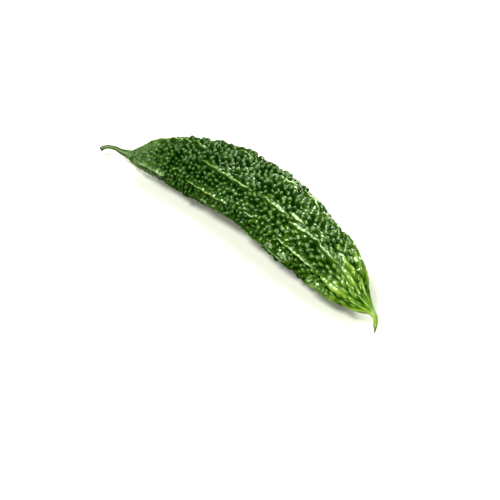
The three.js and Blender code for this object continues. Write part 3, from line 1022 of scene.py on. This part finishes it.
def skin_material(colours):
    """Waxy skin: dark in the hollows, partly by painted shade, mid green on the warts and pale on their
    tops, partly by a painted highlight, and light on the ridges and the ribs, with painted glints on
    some crests.

    Its attributes are the height on a wart, weal or rib, the nearness to a crest, the random tone
    of a wart and the share of the length.
    """
    tree = Tree("gourd_skin", 0.25, Specular_Tint=(0.66, 1, 0.42), Coat_IOR=1.75)
    crown, weal, tone, share = (tree.attribute(n) for n in ("crown", "weal", "tone", "share"))
    patches = tree.noise(22, 3)
    mottle = tree.noise(160, 4, 0.6)

    skin = skin_colour(tree, colours, crown, weal, share, patches, mottle)
    tones = (tree.times(skin, DARK_TONE), tree.times(skin, LIGHT_TONE))
    skin = tree.mix(tree.span(tone, 0.0, 1.0), *tones)
    skin = tree.mix(tree.span(patches, 0.35, 0.65, 0.0, 0.3), skin, tree.times(skin, PATCH_SHADE))
    tree.look("Base Color", skin)

    spots = tree.span(mottle, 0.3, 0.7, 0.0, 0.08)
    tree.look("Roughness", tree.maths("ADD", tree.ramp(share, SKIN_ROUGHNESS), spots))
    risen = tree.span(crown, 0.1, 0.5, 0.04, 1.0)
    tree.look("Specular IOR Level", tree.maths("MULTIPLY", risen, tree.ramp(share, SKIN_SHINE)))
    beads = tree.maths("MULTIPLY", tree.span(crown, 0.35, 0.7), tree.ramp(share, WART_COAT))
    tree.look("Coat Weight", tree.maths("MAXIMUM", tree.span(weal, 0.6, 0.95), beads))
    tree.look("Coat Roughness", tree.span(weal, 0.5, 0.9, 0.07, 0.13))
    tree.bump(tree.noise(900, 3), 0.3, 0.0004)
    return tree.material


def stalk_material(colours):
    """Dull grey-green stem, dark between its corners and pale on them, partly by painted shade and
    painted highlight, brown at the cut.
    """
    tree = Tree("gourd_stalk", 0.55, Specular_IOR_Level=0.35)
    corner, along = tree.attribute("corner"), tree.attribute("along")
    mottle = tree.noise(420, 4)
    # Dark between the corners and pale on them, partly painted shade and painted highlight.
    skin = tree.mix(tree.span(corner, 0.3, 0.95, 0.0, 0.9), colours.stalk, colours.stalk_corner_and_highlight)
    skin = tree.mix(tree.span(mottle, 0.35, 0.7, 0.0, 0.2), skin, colours.neck)
    skin = tree.mix(tree.span(along, 0.2, 0.0, 0.0, 0.8), skin, colours.neck)
    dry = tree.maths("ADD", along, tree.span(mottle, 0.3, 0.7, -0.03, 0.03))
    tree.look("Base Color", tree.mix(tree.span(dry, 0.93, 1.0), skin, colours.cut))
    tree.bump(tree.noise(700, 3), 0.25, 0.0003)
    return tree.material


def style_material(colours):
    """Dry brown with darker spots, and the beak's own green where it grows from it."""
    tree = Tree("gourd_style", 0.8, Specular_IOR_Level=0.2)
    mottle = tree.noise(900, 3)
    dark = tuple(DRY_SHADE * c for c in colours.style)
    dry = tree.mix(tree.span(mottle, 0.3, 0.7), colours.style, dark)
    grown = tree.span(tree.attribute("along"), 0.35, 0.0)
    tree.look("Base Color", tree.mix(grown, dry, colours.ripe_rib))
    tree.bump(mottle, 0.4, 0.0003)
    return tree.material


def floor_material():
    """Plain matt white."""
    tree = Tree("stage_floor", 0.9, Base_Color=(0.9, 0.9, 0.87), Specular_IOR_Level=0.1)
    return tree.material


# ---- Operators ----


class GOURD_OT_fruit(bpy.types.Operator):
    """Make the fruit's warty skin in the place of the frame's fruit"""

    bl_idname = "gourd.make_fruit"
    bl_label = "Fruit"

    def execute(self, context):
        rings, attributes = skin_surface(context.scene.gourd_form)
        material = skin_material(context.scene.gourd_colours)
        add_piece("fruit_skin", rings, attributes, material, "fruit")
        return {"FINISHED"}


class GOURD_OT_stalk(bpy.types.Operator):
    """Make the cut stalk in the place of the frame's stalk"""

    bl_idname = "gourd.make_stalk"
    bl_label = "Stalk"

    def execute(self, context):
        rings, attributes = stalk_surface()
        material = stalk_material(context.scene.gourd_colours)
        add_piece("stalk_stem", rings, attributes, material, "stalk")
        return {"FINISHED"}


class GOURD_OT_style(bpy.types.Operator):
    """Make the dried foot of the style in the place of the frame's own"""

    bl_idname = "gourd.make_style"
    bl_label = "Dried style"

    def execute(self, context):
        rings, attributes = style_surface()
        material = style_material(context.scene.gourd_colours)
        add_piece("style_foot", rings, attributes, material, "style_remnant")
        return {"FINISHED"}


def aim(obj, place, target):
    """Puts an object at place, with its -Z towards target and its Y upwards."""
    obj.location = place
    obj.rotation_euler = (Vector(place) - Vector(target)).to_track_quat("Z", "Y").to_euler()


def add_floor():
    """A large square floor, which doesn't show in the gourd's shine."""
    mesh = bpy.data.meshes.new("stage_floor")
    corners = [(x * FLOOR_HALF, y * FLOOR_HALF, 0) for x, y in ((-1, -1), (1, -1), (1, 1), (-1, 1))]
    mesh.from_pydata(corners, [], [(0, 1, 2, 3)])
    mesh.materials.append(floor_material())
    floor = bpy.data.objects.new("stage_floor", mesh)
    bpy.context.scene.collection.objects.link(floor)
    floor.visible_glossy = False


def add_light(name, place, target, size, power):
    """A round area light at place that shines at target."""
    light = bpy.data.lights.new(name, "AREA")
    light.shape = "DISK"
    light.size = size
    light.energy = power
    light.color = LIGHT_COLOUR
    lamp = bpy.data.objects.new(name, light)
    bpy.context.scene.collection.objects.link(lamp)
    aim(lamp, place, target)


def add_camera(lens, place, target):
    """The scene's camera at place, which looks at target."""
    data = bpy.data.cameras.new("camera")
    data.lens = lens
    data.sensor_width = 36
    data.clip_start = 0.05
    camera = bpy.data.objects.new("camera", data)
    bpy.context.scene.collection.objects.link(camera)
    aim(camera, place, target)
    bpy.context.scene.camera = camera


def add_sky(strength):
    """Even white light from all round, which doesn't show in the gourd's shine."""
    world = bpy.data.worlds.new("sky")
    bpy.context.scene.world = world
    world.use_nodes = True
    world.cycles_visibility.glossy = False
    background = world.node_tree.nodes["Background"]
    background.inputs["Color"].default_value = (1, 1, 1, 1)
    background.inputs["Strength"].default_value = strength


class GOURD_OT_stage(bpy.types.Operator):
    """Make the floor, the lights, the sky and the camera"""

    bl_idname = "gourd.make_stage"
    bl_label = "Stage"

    def execute(self, context):
        stage = context.scene.gourd_stage
        target = Vector((0, 0, AIM_HEIGHT))
        turn, rise = stage.azimuth, stage.elevation
        level = math.cos(rise)
        back = Vector((math.sin(turn) * level, -math.cos(turn) * level, math.sin(rise)))
        right = Vector((math.cos(turn), math.sin(turn), 0))
        up = back.cross(right)

        add_floor()
        seen = target - up * AIM_BELOW - right * AIM_LEFT
        add_camera(stage.lens, target + back * stage.distance, seen)
        for name, beside, towards, high, size, share in LIGHTS:
            place = right * beside + back * towards + Vector((0, 0, high))
            add_light(name, place, target, size, stage.key * share)
        add_sky(stage.sky)
        context.scene.view_settings.view_transform = "Standard"
        return {"FINISHED"}


class VIEW3D_PT_gourd(bpy.types.Panel):
    """Lists the pieces of the gourd and their settings"""

    bl_label = "Bitter Gourd"
    bl_space_type = "VIEW_3D"
    bl_region_type = "UI"
    bl_category = "Gourd"

    def draw(self, context):
        scene = context.scene
        for operator in OPERATORS:
            self.layout.operator(operator.bl_idname)
        for group in (scene.gourd_form, scene.gourd_colours, scene.gourd_stage):
            for name in group.__annotations__:
                self.layout.prop(group, name)


OPERATORS = (GOURD_OT_stage, GOURD_OT_fruit, GOURD_OT_stalk, GOURD_OT_style)
CLASSES = (GourdForm, GourdColours, GourdStage, *OPERATORS, VIEW3D_PT_gourd)


def register():
    for cls in CLASSES:
        bpy.utils.register_class(cls)
    bpy.types.Scene.gourd_form = PointerProperty(type=GourdForm)
    bpy.types.Scene.gourd_colours = PointerProperty(type=GourdColours)
    bpy.types.Scene.gourd_stage = PointerProperty(type=GourdStage)


def unregister():
    del bpy.types.Scene.gourd_stage
    del bpy.types.Scene.gourd_colours
    del bpy.types.Scene.gourd_form
    for cls in reversed(CLASSES):
        bpy.utils.unregister_class(cls)


def main():
    """Makes the stage and every piece."""
    register()
    bpy.ops.gourd.make_stage()
    bpy.ops.gourd.make_fruit()
    bpy.ops.gourd.make_stalk()
    bpy.ops.gourd.make_style()


if __name__ == "__main__":
    main()
